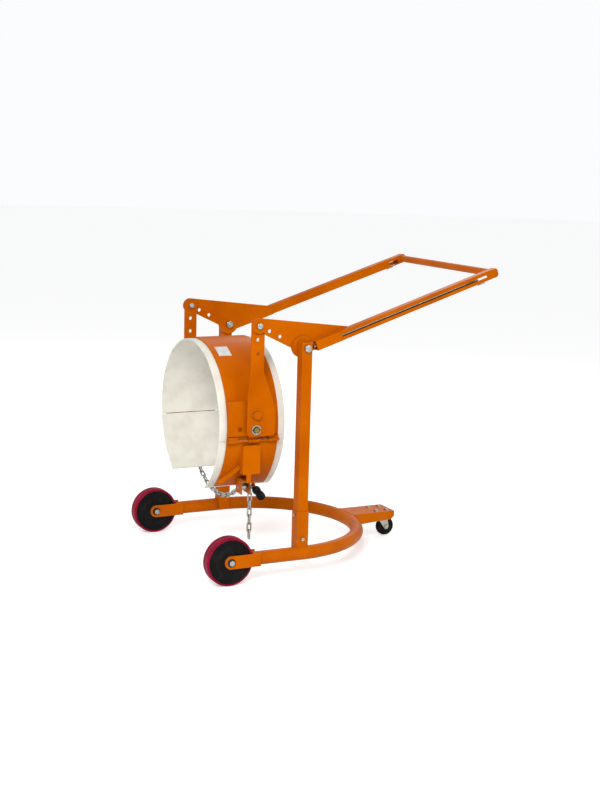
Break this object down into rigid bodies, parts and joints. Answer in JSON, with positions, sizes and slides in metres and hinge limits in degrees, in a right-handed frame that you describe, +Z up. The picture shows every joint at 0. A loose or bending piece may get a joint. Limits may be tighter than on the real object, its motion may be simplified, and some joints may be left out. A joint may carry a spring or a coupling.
{
  "type": "drum dolly",
  "caption": "Wheeled drum handler: bent-tube base, two posts, lifting lever and a hinged, chain-closed holder that tilts on side trunnions.",
  "frame": {"origin": "on the floor, in the centre plane, midway between the front of the wheels and the rear end of the handle arms", "axes": "X lateral with +X the operator's left, +Y rearward to the operator's handle, +Z up from the floor"},
  "size_m": [0.845, 1.2104, 1.1276],
  "materials": {
    "orange_paint": "semi-gloss",
    "zinc_steel": "zinc plated",
    "dark_steel": "blackened",
    "white_liner": "matt",
    "crimson_tread": "satin polyurethane",
    "black_plastic": "satin",
    "grey_plastic": "satin",
    "black_rubber": "matt",
    "brass": "satin",
    "blank_label": "matt"
  },
  "bodies": {
    "base": {"base_hoop": "orange_paint", "caster_leg": "orange_paint", "left_post": "orange_paint", "right_post": "orange_paint", "fork_plates": "orange_paint", "post_sockets": "orange_paint", "latch_discs": "orange_paint", "socket_fasteners": "zinc_steel", "pivot_fasteners": "zinc_steel", "axle_fasteners": "zinc_steel", "axle_rings": "dark_steel", "caster_plate": "zinc_steel", "caster_kingpin": "zinc_steel", "caster_fasteners": "zinc_steel"},
    "left_front_wheel": {"left_wheel_tread": "crimson_tread", "left_wheel_core": "black_plastic", "left_wheel_sleeve": "zinc_steel"},
    "right_front_wheel": {"right_wheel_tread": "crimson_tread", "right_wheel_core": "black_plastic", "right_wheel_sleeve": "zinc_steel"},
    "caster_swivel": {"caster_fork": "zinc_steel", "caster_axle": "zinc_steel"},
    "caster_wheel": {"caster_tyre": "black_rubber", "caster_hub": "grey_plastic"},
    "lift_lever": {"left_lever_plate": "orange_paint", "right_lever_plate": "orange_paint", "left_handle_arm": "orange_paint", "right_handle_arm": "orange_paint", "handle_crossbar": "orange_paint", "release_springs": "zinc_steel", "lever_bushes": "brass", "tip_fasteners": "zinc_steel"},
    "left_release": {"left_release_rod": "zinc_steel"},
    "right_release": {"right_release_rod": "zinc_steel"},
    "hangers": {"left_hanger": "orange_paint", "right_hanger": "orange_paint", "trunnion_bushes": "brass"},
    "left_lock": {"left_lock_plunger": "orange_paint"},
    "right_lock": {"right_lock_plunger": "orange_paint"},
    "holder": {"saddle_shell": "orange_paint", "saddle_liner": "white_liner", "blank_plate": "blank_label", "lock_boxes": "orange_paint", "trunnion_pins": "brass", "trunnion_hardware": "zinc_steel", "hinge_pins": "orange_paint"},
    "left_flap_body": {"left_flap": "orange_paint", "left_flap_liner": "white_liner", "left_chain_bracket": "orange_paint", "flap_brace": "orange_paint", "ratchet_frame": "orange_paint", "tension_chain": "zinc_steel"},
    "spare_chain": {"tail_chain": "zinc_steel"},
    "right_flap_body": {"right_flap": "orange_paint", "right_flap_liner": "white_liner", "right_chain_bracket": "orange_paint"},
    "ratchet_drive": {"ratchet_spool": "zinc_steel", "ratchet_handle": "orange_paint", "ratchet_grip": "black_rubber"},
    "ratchet_pawl_body": {"ratchet_pawl": "zinc_steel"}
  },
  "joints": [
    {"name": "lift_lever_pivot", "type": "hinge", "parent": "base", "child": "lift_lever", "pos_m": [0, -0.21918, 0.852], "axis": [1, 0, 0], "range_deg": [-15, 36]},
    {"name": "hanger_swing", "type": "hinge", "parent": "lift_lever", "child": "hangers", "pos_m": [0, -0.38918, 0.932], "axis": [1, 0, 0], "range_deg": [-36, 15]},
    {"name": "drum_tilt", "type": "hinge", "parent": "hangers", "child": "holder", "pos_m": [0, -0.38918, 0.552], "axis": [1, 0, 0], "range_deg": [-90, 90]},
    {"name": "left_flap_hinge", "type": "hinge", "parent": "holder", "child": "left_flap_body", "pos_m": [0.303, -0.38918, 0.508], "axis": [0, 1, 0], "range_deg": [-40, 0]},
    {"name": "right_flap_hinge", "type": "hinge", "parent": "holder", "child": "right_flap_body", "pos_m": [-0.303, -0.38918, 0.508], "axis": [0, -1, 0], "range_deg": [-40, 0]},
    {"name": "ratchet_handle_turn", "type": "hinge", "parent": "left_flap_body", "child": "ratchet_drive", "pos_m": [0.233, -0.38918, 0.318], "axis": [0, -1, 0], "range_deg": [-5, 40]},
    {"name": "ratchet_pawl_lift", "type": "hinge", "parent": "left_flap_body", "child": "ratchet_pawl_body", "pos_m": [0.246, -0.38918, 0.341], "axis": [0, 1, 0], "range_deg": [0, 15]},
    {"name": "spare_chain_swing", "type": "hinge", "parent": "left_flap_body", "child": "spare_chain", "pos_m": [0.233, -0.36718, 0.318], "axis": [0, 1, 0], "range_deg": [-18, 25]},
    {"name": "left_lock_slide", "type": "slide", "parent": "hangers", "child": "left_lock", "axis": [1, 0, 0], "range_m": [-0.004, 0.006]},
    {"name": "right_lock_slide", "type": "slide", "parent": "hangers", "child": "right_lock", "axis": [-1, 0, 0], "range_m": [-0.004, 0.006]},
    {"name": "left_release_slide", "type": "slide", "parent": "lift_lever", "child": "left_release", "axis": [0, 0.9482, 0.3176], "range_m": [-0.007, 0.006]},
    {"name": "right_release_slide", "type": "slide", "parent": "lift_lever", "child": "right_release", "axis": [0, 0.9482, 0.3176], "range_m": [-0.007, 0.006]},
    {"name": "left_wheel_spin", "type": "hinge", "parent": "base", "child": "left_front_wheel", "pos_m": [0.382, -0.51518, 0.09], "axis": [1, 0, 0], "continuous": true},
    {"name": "right_wheel_spin", "type": "hinge", "parent": "base", "child": "right_front_wheel", "pos_m": [-0.382, -0.51518, 0.09], "axis": [1, 0, 0], "continuous": true},
    {"name": "caster_swivel_turn", "type": "hinge", "parent": "base", "child": "caster_swivel", "pos_m": [0, 0.31682, 0.09], "axis": [0, 0, 1], "continuous": true},
    {"name": "caster_wheel_spin", "type": "hinge", "parent": "caster_swivel", "child": "caster_wheel", "pos_m": [0, 0.35382, 0.0375], "axis": [1, 0, 0], "continuous": true}
  ],
  "couplings": [
    {"joint": "hanger_swing", "follows": "lift_lever_pivot", "ratio": -1},
    {"joint": "right_flap_hinge", "follows": "left_flap_hinge", "ratio": 1}
  ]
}
